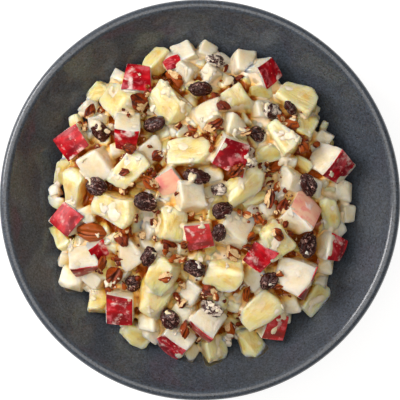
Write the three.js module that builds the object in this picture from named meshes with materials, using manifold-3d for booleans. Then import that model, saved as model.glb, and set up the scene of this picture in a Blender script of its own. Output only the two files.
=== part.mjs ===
// A bowl of apple salad: a round stoneware bowl on a foot ring, heaped with a creamy salad of diced apple
// and pineapple, with raisins and pecan pieces lying in its surface. Millimetres, +Z up, with the origin
// at the centre of the foot's underside. Each place in the heap is x, y from the bowl's axis.
import * as THREE from "three";
import { ConvexGeometry } from "three/addons/geometries/ConvexGeometry.js";
import { mergeVertices } from "three/addons/utils/BufferGeometryUtils.js";
import Module from "manifold-3d";

const wasm = await Module();
wasm.setup();

// ---- driving dimensions ------------------------------------------------------------------------------

const RIM_RADIUS = 120;
const BOWL_HEIGHT = 60;
const BOWL_SIDES = 48;
const WALL = 5;
const FLOOR_TOP = 9; // inside of the bowl, on its axis
const LIP_INNER_ROUND = 4.2; // radius of the lip's roll on the food's side
const LIP_OUTER_ROUND = 3.2;
const LIP_INNER_TURN = 49; // degrees that the roll turns before it meets the inner wall
const LIP_OUTER_TURN = 120;
const FOOT_OUTER_RADIUS = 57;
const FOOT_INNER_RADIUS = 50;
const FOOT_RECESS = 3.5; // height of the hollow underside
const FOOT_BEVEL = 3; // how far the hollow's side leans in

const CLEARANCE = 0.4; // between the salad and the bowl
const HEAP_RADIUS = 86; // the outermost pieces have their middles near here
const HEAP_CROWN = 70; // height of the topmost pieces' middles
const HEAP_EDGE = 45; // height of the outermost pieces' middles
const HEAP_SHAPE = 2.3; // exponent: larger is flatter on top
const CORE_DEPTH = 4.5; // the core's surface lies this far under the pieces' middles
const CORE_RADIUS = 82;

const CORNER_WOBBLE = 0.12; // of a piece's size, so that no two dice are alike
const SKIN_BULGE = 0.09; // of a die's size: an apple's skin is round
const WEDGE_THICKNESS = 0.75; // of a pineapple piece's width
const NARROW_END = 0.72; // a pineapple piece's width towards the ring's hole, of its full width
const ROUND_END = 0.6; // of its length: how far its round outside reaches
const EDGE_SLOPE = 0.35; // how steeply pieces lean outwards at the heap's edge
const TUMBLE = 1.1; // slopes that a piece may lie at differ by up to this much
const FILL_SIZES = [15, 12]; // of the smaller pieces that lie between those listed below
const FILL_WIDTH = 0.85; // of its length
const FILL_SUNK = 4; // the deepest that one lies below the heap's surface
const FILL_TRIES = 420;
const FILL_SPACING = 0.5; // of two pieces' sizes added

const RAISIN_THICKNESS = 0.78; // of its width
const WRINKLE = 0.16; // of its radius, so that it is a little lumpy
const PECAN_THICKNESS = 0.62;
const PECAN_DOME = 1.5; // its dome is this much higher than a ball of its thickness
const PECAN_UNDERSIDE = 0.55; // of the dome's height
const GROOVE_DEPTH = 0.45; // of the dome's height
const GROOVE_WIDTH = 0.12; // of the nut's width
const PECAN_TAPER = 0.25; // of its width, towards its ends
const BREAK_REACH = [0.16, 0.34]; // of its length from its middle: where a broken piece ends
const BREAK_SLANT = 0.25;
const PECAN_LUMPS = 0.2; // of its radius
const LOOSE_LENGTH = 11; // a topping at least this long is a piece of its own, a smaller one clings
const FEELER = 0.33; // of a topping's size: how far from its middle its bed is felt
const PROPPED = 0.7; // how much the highest point under a topping counts, against all of them together
const STEEPEST = 0.4; // slope at which a topping still lies still
const NESTLE = 0.4; // of its thickness: its middle lies this far above what it rests on
const DENT = 0.5; // how much larger a topping's dent is than the topping, all round

const GOLDEN_ANGLE = Math.PI * (3 - Math.sqrt(5));
const DEGREE = Math.PI / 180;
const DOWN = new THREE.Vector3(0, 0, -1);

// ---- what lies where in the heap ---------------------------------------------------------------------

// Dice of apple that show their skin: x, y, size, turn seen from above, then the skin's bearing and how far
// it faces up, all in degrees, and how far the die stands out of the heap.
const SKINNED_APPLE = [
  [-37, 70, 16, 0, 100, 68, 2], [-75, 34, 16, 28, 185, 74, 1], [-43, 41, 15, -5, -97, 46, 3],
  [-77, -11, 15, 52, 170, 70, 1], [-70, -35, 16, 8, -80, 12, 3], [-62, -29, 10, 20, -45, 60, -1],
  [-48, -62, 17, -3, -90, 66, 2], [-12, -82, 18, -41, -131, 23, 0], [5, -73, 17, -20, -125, 15, 2],
  [43, -74, 14, -15, -40, 60, 1], [77, -28, 15, 70, -15, 45, 0], [37, -31, 15, -38, -125, 66, 1],
  [56, -45, 20, 66, -24, 8, 3], [0, -19, 15, 8, -90, 72, 3], [18, 29, 19, -20, -60, 76, 4],
  [36, 76, 15, -46, 5, 50, 1], [77, 22, 18, 58, -32, 38, 3], [-15, 80, 10, 20, 120, 60, -2],
  [-19, 12, 14, 30, -90, 75, 1], [58, -10, 18, -35, 33, 46, 3],
];

// Dice of apple that show only flesh: x, y, size, turn, how far they stand out.
const PEELED_APPLE = [
  [-60, 21, 16, 30, 3], [18, 42, 15, -15, 2], [6, 51, 16, 20, 2], [-7, 1, 16, 5, 3],
  [20, -19, 18, -20, 2], [26, 82, 14, 0, 0], [-8, 87, 14, 25, 0], [4, 90, 11, -15, 0], [6, 76, 11, 40, 1],
  [-9, 77, 12, 55, 1], [54, 12, 12, 80, 1], [-68, -9, 10, 20, 0], [-42, -31, 15, 40, 1],
  [-76, -49, 14, -20, -1], [-31, -72, 12, 0, 1], [-5, -53, 13, 60, -1], [53, -61, 13, -70, -1],
  [86, 5, 12, 80, -2], [9, 16, 11, 20, -2], [36, 54, 11, 0, -1], [75, 38, 10, 50, -1],
  [74, -38, 12, -20, -2], [88, -8, 10, 0, -3], [-6, -92, 10, 30, -2], [-81, -36, 10, 80, -2],
];

// Pineapple pieces: x, y, length, width, turn, how far they stand out.
const PINEAPPLE = [
  [-19, 57, 22, 18, -50, 3], [-8, 27, 22, 18, 5, 3], [-51, -5, 24, 20, -20, 3], [-22, -45, 19, 18, 60, 3],
  [-27, -58, 21, 19, 70, 2], [21, 59, 17, 17, -60, 2], [59, 60, 22, 19, -30, 1], [63, 44, 18, 16, 70, 1],
  [49, 37, 19, 17, -50, 2], [25, 8, 23, 14, 38, 4], [32, 1, 18, 9, 32, 0], [-16, -14, 19, 18, 80, 3],
  [43, -23, 17, 17, -60, 5], [14, -44, 20, 17, -12, 3], [35, -66, 21, 17, 40, 3],
  [-60, -59, 18, 15, 80, -2], [8, -90, 16, 16, -60, -1], [29, -86, 18, 15, -60, 0],
  [68, -60, 17, 14, 50, -1], [78, -6, 17, 14, -70, 1], [-75, 6, 21, 16, 75, 2], [-49, 59, 22, 19, -30, 2],
  [-42, 17, 20, 17, 50, 3], [-27, 82, 16, 14, 60, 0], [-62, 65, 14, 11, 35, -1],
  [-84, 16, 17, 10, 75, -3], [-85, -21, 18, 11, -40, -3], [-39, -80, 17, 14, -30, 0],
  [40, 28, 16, 10, 10, 1], [34, 65, 13, 10, 5, 0],
];

// Raisins: x, y, length, width, turn.
const RAISINS = [
  [-60, 41, 15, 11, -60], [-61, 8, 15, 12, -25], [-32, -1, 15, 12, -10], [-27, 45, 16, 10, 12],
  [0, 66, 17, 10, 0], [19, 72, 8, 7, 60], [9, 84, 13, 9, -8], [34, 39, 12, 11, -30], [54, 55, 11, 7, -65],
  [43, 53, 13, 11, -25], [64, 9, 16, 11, -58], [64, -27, 16, 12, 62], [41, -48, 13, 11, 45],
  [-2, 14, 17, 10, -15], [13, -6, 14, 11, 28], [11, -19, 12, 10, 70], [11, 6, 11, 8, -10],
  [30, 22, 9, 8, 40], [-3, -40, 15, 11, -30], [-30, -33, 14, 10, 65], [-40, -50, 12, 11, 20],
  [-18, -71, 14, 12, -40], [7, -64, 16, 9, -28],
];

// Pecan pieces, the first a whole half: x, y, length, width, turn.
const PECANS = [
  [-65, -19, 20, 12, -3], [-36, 58, 14, 11, -40], [-66, 52, 13, 7, 85], [-41, 30, 11, 7, -30],
  [-28, 9, 14, 9, -35], [-15, 73, 13, 10, -40], [-5, 44, 10, 8, -30], [8, 44, 14, 7, 35],
  [14, 54, 10, 8, -40], [54, 45, 12, 7, -25], [44, 20, 12, 8, 20], [61, 31, 10, 8, -50],
  [21, 17, 12, 8, 50], [41, 1, 13, 7, 85], [49, -5, 12, 7, 70], [45, -20, 10, 8, -35],
  [19, -31, 13, 9, -50], [6, -54, 10, 9, -20], [-9, -77, 14, 7, 75], [19, -77, 15, 8, -75],
  [28, -55, 12, 6, 85], [-51, -44, 16, 10, 60], [-46, -22, 13, 9, -60], [-18, -27, 10, 8, -30],
  [27, 40, 8, 6, 20], [46, 7, 9, 6, 75], [-45, 16, 8, 6, 0], [-27, -14, 9, 5, -75], [28, -9, 9, 5, -30],
  [34, -11, 9, 6, -50], [-14, -35, 10, 6, 20], [-58, -38, 10, 6, 80], [-20, -45, 9, 7, 10],
  [-11, -61, 8, 7, 40], [46, -51, 8, 5, 20], [-25, 26, 8, 7, 30],
];

// ---- helpers -----------------------------------------------------------------------------------------

// A repeatable draw from 0 to 1 for each whole number.
function draw(n) {
  const s = Math.sin(n * 12.9898 + 78.233) * 43758.5453;
  return s - Math.floor(s);
}

function closedMesh(geometry) {
  geometry.deleteAttribute("normal");
  geometry.deleteAttribute("uv");
  return mergeVertices(geometry, 1e-4);
}

function solidOf(geometry) {
  return new wasm.Manifold(new wasm.Mesh({
    numProp: 3,
    vertProperties: new Float32Array(geometry.attributes.position.array),
    triVerts: new Uint32Array(geometry.index.array),
  }));
}

function geometryOf(solid) {
  const mesh = solid.getMesh();
  return new THREE.BufferGeometry()
    .setAttribute("position", new THREE.BufferAttribute(mesh.vertProperties, 3))
    .setIndex(new THREE.BufferAttribute(mesh.triVerts, 1));
}

function revolved(profile) {
  return closedMesh(new THREE.LatheGeometry(profile, BOWL_SIDES).rotateX(Math.PI / 2));
}

// Axes for a piece whose third axis is w, and whose first axis is turned that far when seen from above.
function axesOf(w, turn) {
  const heading = new THREE.Vector3(Math.cos(turn * DEGREE), Math.sin(turn * DEGREE), 0);
  const u = heading.addScaledVector(w, -heading.dot(w)).normalize();
  return new THREE.Matrix4().makeBasis(u, new THREE.Vector3().crossVectors(w, u), w);
}

// ---- the bowl ----------------------------------------------------------------------------------------

const CROWN_RADIUS = RIM_RADIUS - LIP_OUTER_ROUND; // where the lip is highest
const INNER_RADIUS = CROWN_RADIUS - LIP_INNER_ROUND * Math.sin(LIP_INNER_TURN * DEGREE);
const INNER_TOP = BOWL_HEIGHT - LIP_INNER_ROUND * (1 - Math.cos(LIP_INNER_TURN * DEGREE));
const WALL_DEPTH = INNER_TOP - FLOOR_TOP;
// The wall meets the lip at the angle where the lip's roll ends.
const WALL_SHAPE = (Math.tan(LIP_INNER_TURN * DEGREE) * INNER_RADIUS) / WALL_DEPTH;

function wallHeight(radius) {
  return FLOOR_TOP + WALL_DEPTH * (radius / INNER_RADIUS) ** WALL_SHAPE;
}

// The point of the outer wall that lies behind the inner wall at this radius.
function outerWall(radius) {
  const slope = (WALL_SHAPE * (wallHeight(radius) - FLOOR_TOP)) / radius;
  const length = Math.hypot(1, slope);
  return new THREE.Vector2(radius + (WALL * slope) / length, wallHeight(radius) - WALL / length);
}

function lipArc(round, from, to, steps) {
  return Array.from({ length: steps + 1 }, (_, i) => {
    const turn = (from + ((to - from) * i) / steps) * DEGREE;
    const fall = round * (1 - Math.cos(turn));
    return new THREE.Vector2(CROWN_RADIUS + round * Math.sin(turn), BOWL_HEIGHT - fall);
  });
}

function bowlProfile() {
  const foot = [
    [0, FOOT_RECESS],
    [FOOT_INNER_RADIUS - FOOT_BEVEL, FOOT_RECESS],
    [FOOT_INNER_RADIUS, 0],
    [FOOT_OUTER_RADIUS, 0],
  ].map(([r, z]) => new THREE.Vector2(r, z));
  const outer = [60, 72, 84, 95, 106].map(outerWall);
  const inner = [100, 87, 72, 55, 35].map((r) => new THREE.Vector2(r, wallHeight(r)));
  return [
    ...foot,
    ...outer,
    ...lipArc(LIP_OUTER_ROUND, LIP_OUTER_TURN, 0, 4),
    ...lipArc(LIP_INNER_ROUND, 0, -LIP_INNER_TURN, 3).slice(1),
    ...inner,
    new THREE.Vector2(0, FLOOR_TOP),
  ];
}

// ---- the heap ----------------------------------------------------------------------------------------

function heapHeight(radius) {
  return HEAP_CROWN - (HEAP_CROWN - HEAP_EDGE) * (radius / HEAP_RADIUS) ** HEAP_SHAPE;
}

function clearOfWall(radius) {
  return new THREE.Vector2(radius, wallHeight(radius) + CLEARANCE);
}

// Everything inside the bowl and above it, a little clear of the wall.
function bowlSpace() {
  const wall = [0, 35, 55, 72, 87, 100, INNER_RADIUS].map(clearOfWall);
  const top = 2 * HEAP_CROWN;
  return solidOf(revolved([...wall, new THREE.Vector2(INNER_RADIUS, top), new THREE.Vector2(0, top)]));
}

// The bulk of the salad, under the pieces that show.
function core() {
  const under = [0, 35, 55, 72, CORE_RADIUS].map(clearOfWall);
  const over = [76, 62, 44, 24, 0].map((r) => new THREE.Vector2(r, heapHeight(r) - CORE_DEPTH));
  return solidOf(revolved([...under, ...over]));
}

// The eight corners of a piece, uneven, with the -u end narrowed to a share of its width.
function corners(size, seed, narrow) {
  const made = [];
  for (const [i, j, k] of [[-1, -1, -1], [1, -1, -1], [-1, 1, -1], [1, 1, -1],
    [-1, -1, 1], [1, -1, 1], [-1, 1, 1], [1, 1, 1]]) {
    const share = i < 0 ? narrow : 1;
    const at = [i, j * share, k].map((side, axis) =>
      size[axis] * (side / 2 + CORNER_WOBBLE * (2 * draw(31 * seed + 3 * made.length + axis) - 1)));
    made.push(new THREE.Vector3(...at));
  }
  return made;
}

function placed(points, piece) {
  const matrix = axesOf(piece.w, piece.turn).setPosition(piece.x, piece.y, piece.z);
  return closedMesh(new ConvexGeometry(points.map((p) => p.applyMatrix4(matrix))));
}

// An apple die, a cube whose skinned side bulges a little.
function appleDie(piece) {
  const { size, seed } = piece;
  const bulge = new THREE.Vector3(0, 0, size * (0.5 + SKIN_BULGE));
  const points = corners([size, size, size], seed, 1);
  return placed(piece.skinned ? [...points, bulge] : points, piece);
}

// A piece of a pineapple ring: narrow towards the ring's hole, round outside.
function pineappleWedge(piece) {
  const { size, width, seed } = piece;
  const thick = WEDGE_THICKNESS * width;
  const outside = [-0.42, 0.42].map((side) => new THREE.Vector3(ROUND_END * size, 0, side * thick));
  return placed([...corners([size, width, thick], seed, NARROW_END), ...outside], piece);
}

// The way a piece without skin lies: nearly level, leaning outwards down the heap's side.
function leaning(x, y, seed) {
  const out = EDGE_SLOPE * (Math.hypot(x, y) / HEAP_RADIUS) ** 2;
  const angle = Math.atan2(y, x);
  const tip = TUMBLE * (draw(7 * seed + 1) - 0.5);
  const tilt = TUMBLE * (draw(7 * seed + 2) - 0.5);
  return new THREE.Vector3(out * Math.cos(angle) + tip, out * Math.sin(angle) + tilt, 1).normalize();
}

function heapPieces() {
  const pieces = [];
  const add = (shape, x, y, size, width, turn, lift, w) => {
    const seed = pieces.length + 1;
    const z = heapHeight(Math.hypot(x, y)) + lift;
    const facing = w ?? leaning(x, y, seed);
    pieces.push({ shape, x, y, z, size, width, turn, seed, skinned: Boolean(w), w: facing });
  };
  for (const [x, y, size, turn, bearing, rise, lift] of SKINNED_APPLE) {
    const level = Math.cos(rise * DEGREE);
    const w = new THREE.Vector3(
      level * Math.cos(bearing * DEGREE), level * Math.sin(bearing * DEGREE), Math.sin(rise * DEGREE));
    add(appleDie, x, y, size, size, turn, lift, w);
  }
  for (const [x, y, size, turn, lift] of PEELED_APPLE) add(appleDie, x, y, size, size, turn, lift);
  for (const [x, y, size, width, turn, lift] of PINEAPPLE) {
    add(pineappleWedge, x, y, size, width, turn, lift);
  }
  // Smaller pieces fill what room is left, the larger ones first, along a sunflower's spiral.
  for (const size of FILL_SIZES) {
    for (let i = 0; i < FILL_TRIES; i += 1) {
      const radius = HEAP_RADIUS * Math.sqrt((i + 0.5) / FILL_TRIES);
      const x = radius * Math.cos(i * GOLDEN_ANGLE);
      const y = radius * Math.sin(i * GOLDEN_ANGLE);
      const free = pieces.every((p) => {
        const room = (p.size + p.width) / 2 + size;
        return Math.hypot(p.x - x, p.y - y) > FILL_SPACING * room;
      });
      if (free) {
        const shape = draw(i) < 0.5 ? appleDie : pineappleWedge;
        add(shape, x, y, size, FILL_WIDTH * size, 360 * draw(i + 500), -FILL_SUNK * draw(i + 900));
      }
    }
  }
  return pieces;
}

// ---- what lies on the heap ---------------------------------------------------------------------------

// Rests a topping on the pieces under it. It tips with them, and is returned with its axes and height.
function resting(bed, [x, y, length, width, turn], thickness) {
  const high = (dx, dy) => {
    const ray = new THREE.Raycaster(new THREE.Vector3(x + dx, y + dy, 2 * HEAP_CROWN), DOWN);
    const hit = ray.intersectObjects(bed)[0];
    return hit ? hit.point.z : heapHeight(Math.hypot(x, y)) - CORE_DEPTH;
  };
  const [cos, sin] = [Math.cos(turn * DEGREE), Math.sin(turn * DEGREE)];
  const [a, b] = [FEELER * length, FEELER * width];
  const [front, back] = [high(a * cos, a * sin), high(-a * cos, -a * sin)];
  const [left, right] = [high(-b * sin, b * cos), high(b * sin, -b * cos)];
  const limit = (slope) => Math.max(-STEEPEST, Math.min(STEEPEST, slope));
  const along = limit((front - back) / (2 * a));
  const across = limit((left - right) / (2 * b));
  const w = new THREE.Vector3(-along * cos + across * sin, -along * sin - across * cos, 1).normalize();
  const heights = [high(0, 0), front, back, left, right];
  const mean = heights.reduce((sum, h) => sum + h) / heights.length;
  const base = (1 - PROPPED) * mean + PROPPED * Math.max(...heights);
  return { x, y, z: base + NESTLE * thickness, w, turn };
}

// A ball with its poles on the first axis, each point moved by shaping, then sized, turned and placed.
function rounded(size, shaping, piece, around, along) {
  const ball = closedMesh(new THREE.SphereGeometry(0.5, around, along).rotateZ(-Math.PI / 2));
  const matrix = axesOf(piece.w, piece.turn).setPosition(piece.x, piece.y, piece.z);
  const position = ball.attributes.position;
  for (let i = 0; i < position.count; i += 1) {
    const p = shaping(new THREE.Vector3().fromBufferAttribute(position, i), i);
    p.multiply(size).applyMatrix4(matrix);
    position.setXYZ(i, p.x, p.y, p.z);
  }
  return ball;
}

function raisin(piece, length, width, seed) {
  const size = new THREE.Vector3(length, width, RAISIN_THICKNESS * width);
  const wrinkled = (p, i) => {
    const depth = WRINKLE * (1 - 2 * Math.abs(p.x));
    return p.multiplyScalar(1 + depth * (draw(97 * seed + i) - 0.5));
  };
  return rounded(size, wrinkled, piece, 7, 5);
}

// Half a pecan: flat below, with two lobes above and a groove between them.
function pecanHalf(p) {
  const lobed = p.clone();
  if (p.z < 0) lobed.z *= PECAN_UNDERSIDE;
  else lobed.z *= 1 - GROOVE_DEPTH * Math.exp(-((p.y / GROOVE_WIDTH) ** 2));
  lobed.y *= 1 - PECAN_TAPER * Math.abs(p.x);
  return lobed;
}

// A broken piece of one: blunt where it broke.
function pecanPiece(seed) {
  const [shortest, longest] = BREAK_REACH;
  const broken = shortest + (longest - shortest) * draw(seed);
  return (p, i) => {
    const piece = pecanHalf(p);
    piece.multiplyScalar(1 + PECAN_LUMPS * (draw(53 * seed + i) - 0.5));
    piece.x = Math.min(piece.x, broken + BREAK_SLANT * piece.y);
    return piece;
  };
}

function pecan(piece, length, width, seed) {
  const size = new THREE.Vector3(length, width, PECAN_DOME * PECAN_THICKNESS * width);
  const whole = seed === 0;
  return whole ? rounded(size, pecanHalf, piece, 12, 7) : rounded(size, pecanPiece(seed), piece, 7, 4);
}

// ---- the whole ---------------------------------------------------------------------------------------

const pieces = heapPieces();
const bed = pieces.map((p) => new THREE.Mesh(p.shape(p)));

const loose = [];
const clinging = [];
function lay(kind, rows, thickness, shape) {
  rows.forEach((row, i) => {
    const [, , length, width] = row;
    const place = resting(bed, row, thickness * width);
    const name = `${kind}_${String(i + 1).padStart(2, "0")}`;
    if (length >= LOOSE_LENGTH) {
      loose.push({ ...place, name, kind, geometry: shape(place, length, width, i) });
    } else {
      clinging.push(placed(corners([length, width, thickness * width], 300 + i, 0.7), place));
    }
  });
}
lay("raisin", RAISINS, RAISIN_THICKNESS, raisin);
lay("pecan", PECANS, PECAN_THICKNESS, pecan);

// A topping's own form, grown all round, for the dent that it lies in.
function dentOf(topping) {
  const grown = topping.geometry.clone();
  const position = grown.attributes.position;
  const middle = new THREE.Vector3(topping.x, topping.y, topping.z);
  for (let i = 0; i < position.count; i += 1) {
    const p = new THREE.Vector3().fromBufferAttribute(position, i).sub(middle);
    p.setLength(p.length() + DENT).add(middle);
    position.setXYZ(i, p.x, p.y, p.z);
  }
  return solidOf(grown);
}

function salad() {
  const parts = [...bed.map((mesh) => mesh.geometry), ...clinging].map(solidOf);
  const heap = parts.reduce((sum, part) => sum.add(part), core());
  const dented = loose.reduce((sum, topping) => sum.subtract(dentOf(topping)), heap);
  // The largest body, without scraps that a dent cut off and without sealed hollows.
  const bodies = dented.intersect(bowlSpace()).decompose();
  return bodies.reduce((most, body) => (body.volume() > most.volume() ? body : most));
}

const looks = {
  bowl: new THREE.MeshStandardMaterial({ color: 0x44484b, roughness: 0.45, metalness: 0 }),
  salad: new THREE.MeshStandardMaterial({ color: 0xf0dfae, roughness: 0.35, metalness: 0 }),
  raisin: new THREE.MeshStandardMaterial({ color: 0x2e1712, roughness: 0.35, metalness: 0 }),
  pecan: new THREE.MeshStandardMaterial({ color: 0x7c3a12, roughness: 0.45, metalness: 0 }),
};

function named(name, geometry, material) {
  const mesh = new THREE.Mesh(geometry, material);
  mesh.name = name;
  return mesh;
}

const bowlOfSalad = new THREE.Group();
bowlOfSalad.add(named("bowl", revolved(bowlProfile()), looks.bowl));
bowlOfSalad.add(named("salad", geometryOf(salad()), looks.salad));
for (const { name, kind, geometry } of loose) bowlOfSalad.add(named(name, geometry, looks[kind]));

export default bowlOfSalad;
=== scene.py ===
"""A bowl of creamy apple salad, seen from straight above: diced red-skinned apple and pineapple in a thin
dressing, with raisins and broken pecans, in a dark speckled stoneware bowl.

Shapes are worked out in millimetres, in the frame's own axes, and turned into metres where a mesh is made.
The dice, chunks, raisins and nuts lie where the solids that they stand for do."""

import math

import bpy
import numpy as np
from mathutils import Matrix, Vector
from mathutils.bvhtree import BVHTree


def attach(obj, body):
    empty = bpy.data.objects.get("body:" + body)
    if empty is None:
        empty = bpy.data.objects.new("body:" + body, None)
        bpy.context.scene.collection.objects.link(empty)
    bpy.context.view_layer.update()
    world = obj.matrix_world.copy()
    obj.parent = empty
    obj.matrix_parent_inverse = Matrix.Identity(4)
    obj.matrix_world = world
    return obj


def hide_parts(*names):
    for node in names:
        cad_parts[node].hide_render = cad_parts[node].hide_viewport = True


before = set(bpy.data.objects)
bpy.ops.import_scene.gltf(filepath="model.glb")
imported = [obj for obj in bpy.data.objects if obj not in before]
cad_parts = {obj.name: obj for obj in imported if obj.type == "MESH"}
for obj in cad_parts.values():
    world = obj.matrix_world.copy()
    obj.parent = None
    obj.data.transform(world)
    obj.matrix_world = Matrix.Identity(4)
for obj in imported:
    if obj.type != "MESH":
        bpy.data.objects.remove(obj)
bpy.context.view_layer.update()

# ---- sizes, in millimetres ----

MM = 0.001
RIM_RADIUS = 120
BOWL_HEIGHT = 60
WALL = 5
FLOOR_TOP = 9
LIP_INNER_ROUND = 4.2
LIP_OUTER_ROUND = 3.2
LIP_INNER_TURN = math.radians(49)
LIP_OUTER_TURN = math.radians(120)
FOOT_OUTER_RADIUS = 57
FOOT_INNER_RADIUS = 50
FOOT_RECESS = 3.5
FOOT_SOFT = 1.2  # rounding of the foot ring's edges
OUTER_WALL_SPAN = (60, 109)  # the inner wall's radii that the outer wall lies behind

HEAP_RADIUS = 86
HEAP_CROWN = 70  # height of the dice's middles there, before each is lifted or sunk
HEAP_EDGE = 45
HEAP_SHAPE = 2.3  # the power by which it falls from crown to edge
CORE_DEPTH = 4.5  # of the core's top below the middles of the pieces that show
CORE_RADIUS = 82
CORE_GAP = 0.6  # between the core and the bowl
WALL_GAP = 0.4  # between the fruit or dressing and the bowl

FILL_SIZES = (15, 12)  # of the smaller dice and chunks, laid where there is room
FILL_TRIES = 420
FILL_SPACING = 0.5  # from middle to middle, as a share of both sizes
FILL_WIDTH = 0.85
FILL_SUNK = 4  # at most
BIT_SIZES = (10, 8, 6.5, 5)  # of bits of fruit in the gaps
BIT_TRIES = 1100
BIT_SPACING = 0.4
BIT_SUNK = 2.3  # of those that raisins and nuts lie on
BIT_CLEARANCE = 0.36  # from raisins and nuts, as a share of both sizes
BIT_TUMBLE = 0.9  # on top of the TUMBLE that they have too
BIT_EDGE = 89

TUMBLE = 1.1  # how unevenly pieces lie, as the spread of their slopes
EDGE_SLOPE = 0.35
CORNER_WOBBLE = 0.12  # as a share of size, as SKIN_BULGE is
SOFT_EDGE = 1.6  # how far cream and knife have rounded the edges of flesh
SKIN_BULGE = 0.09
SKIN_THICKNESS = 0.5
SKIN_PROUD = 0.3  # of the flesh
SKIN_WIDTH = 0.985  # as a share of its die's
WEDGE_THICKNESS = 0.75  # of a pineapple chunk, as a share of its width
NARROW_END = 0.72
ROUND_END = 0.6

FIELD = 110  # half the width of the height field, whose cells are 1 mm wide
OPEN_EDGE = (76, 92)  # the radii between which the heap's outermost pieces lie open to the light

DRESSING_VOXEL = 1.3
FILM_WIDTH = 7  # of a patch of dressing
FILM_DEPTH = 0.85
FILM_SUNK = 0.5
LUMP_WIDTH = 9  # of what shows of the salad deep between the pieces
LUMP_HEIGHT = 3
DAB_VOXEL = 0.55
DAB_COUNT = 90
LUMPS_IN_DAB = 7

RAISIN_THICKNESS = 0.78  # as a share of its width, as the pecan's is
PECAN_THICKNESS = 0.62
PECAN_DOME = 1.5
PECAN_UNDERSIDE = 0.55
PECAN_TAPER = 0.25
GROOVE_DEPTH = 0.45
CRUMB_COUNT = 230
CRUMB_TRIES = 8
FEELER = 0.33  # how far from its middle a raisin or nut is propped, as a share of its size
PROPPED = 0.7  # how much it rests on the highest of what is under it rather than on the mean
STEEPEST = 0.4
NESTLE = 0.4  # its middle's height above that, as a share of its thickness
GOLDEN_ANGLE = math.pi * (3 - math.sqrt(5))

CAMERA_DISTANCE = 800  # above the rim
SENSOR = 36
VIEW_CUT = 0.5  # how much narrower than the rim the view is
FLOOR_SIZE = 12  # in metres
WARM = (1, 0.95, 0.89)

# ---- what lies where in the heap ----

# Dice of apple that show their skin: x, y, size, turn, the skin's bearing, how far it faces up, how far the
# die stands out of the heap, and how red its skin is, from 0 to 1. Angles are in degrees.
SKINNED_APPLE = [
    (-37, 70, 16, 0, 100, 68, 2, 0.9), (-75, 34, 16, 28, 185, 74, 1, 0.8),
    (-43, 41, 15, -5, -97, 46, 3, 1.0), (-77, -11, 15, 52, 170, 70, 1, 0.8),
    (-70, -35, 16, 8, -80, 12, 3, 0.8), (-62, -29, 10, 20, -45, 60, -1, 0.9),
    (-48, -62, 17, -3, -90, 66, 2, 0.75), (-12, -82, 18, -41, -131, 23, 0, 0.9),
    (5, -73, 17, -20, -125, 15, 2, 0.9), (43, -74, 14, -15, -40, 60, 1, 0.7),
    (77, -28, 15, 70, -15, 45, 0, 0.8), (37, -31, 15, -38, -125, 66, 1, 0.9),
    (56, -45, 20, 66, -24, 8, 3, 1.0), (0, -19, 15, 8, -90, 72, 3, 0.7),
    (18, 29, 19, -20, -60, 76, 4, 1.0), (36, 76, 15, -46, 5, 50, 1, 0.9), (77, 22, 18, 58, -32, 38, 3, 0.9),
    (-15, 80, 10, 20, 120, 60, -2, 0.9), (-19, 12, 14, 30, -90, 75, 1, 0.1),
    (58, -10, 18, -35, 33, 46, 3, 0.1),
]

# Dice of apple that show only flesh: x, y, size, turn, how far they stand out.
PEELED_APPLE = [
    (-60, 21, 16, 30, 3), (18, 42, 15, -15, 2), (6, 51, 16, 20, 2), (-7, 1, 16, 5, 3),
    (20, -19, 18, -20, 2), (26, 82, 14, 0, 0), (-8, 87, 14, 25, 0), (4, 90, 11, -15, 0), (6, 76, 11, 40, 1),
    (-9, 77, 12, 55, 1), (54, 12, 12, 80, 1), (-68, -9, 10, 20, 0), (-42, -31, 15, 40, 1),
    (-76, -49, 14, -20, -1), (-31, -72, 12, 0, 1), (-5, -53, 13, 60, -1), (53, -61, 13, -70, -1),
    (86, 5, 12, 80, -2), (9, 16, 11, 20, -2), (36, 54, 11, 0, -1), (75, 38, 10, 50, -1),
    (74, -38, 12, -20, -2), (88, -8, 10, 0, -3), (-6, -92, 10, 30, -2), (-81, -36, 10, 80, -2),
]

# Pineapple pieces: x, y, length, width, turn, how far they stand out.
PINEAPPLE = [
    (-19, 57, 22, 18, -50, 3), (-8, 27, 22, 18, 5, 3), (-51, -5, 24, 20, -20, 3), (-22, -45, 19, 18, 60, 3),
    (-27, -58, 21, 19, 70, 2), (21, 59, 17, 17, -60, 2), (59, 60, 22, 19, -30, 1), (63, 44, 18, 16, 70, 1),
    (49, 37, 19, 17, -50, 2), (25, 8, 23, 14, 38, 4), (32, 1, 18, 9, 32, 0), (-16, -14, 19, 18, 80, 3),
    (43, -23, 17, 17, -60, 5), (14, -44, 20, 17, -12, 3), (35, -66, 21, 17, 40, 3),
    (-60, -59, 18, 15, 80, -2), (8, -90, 16, 16, -60, -1), (29, -86, 18, 15, -60, 0),
    (68, -60, 17, 14, 50, -1), (78, -6, 17, 14, -70, 1), (-75, 6, 21, 16, 75, 2), (-49, 59, 22, 19, -30, 2),
    (-42, 17, 20, 17, 50, 3), (-27, 82, 16, 14, 60, 0), (-62, 65, 14, 11, 35, -1),
    (-84, 16, 17, 10, 75, -3), (-85, -21, 18, 11, -40, -3), (-39, -80, 17, 14, -30, 0),
    (40, 28, 16, 10, 10, 1), (34, 65, 13, 10, 5, 0),
]

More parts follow.
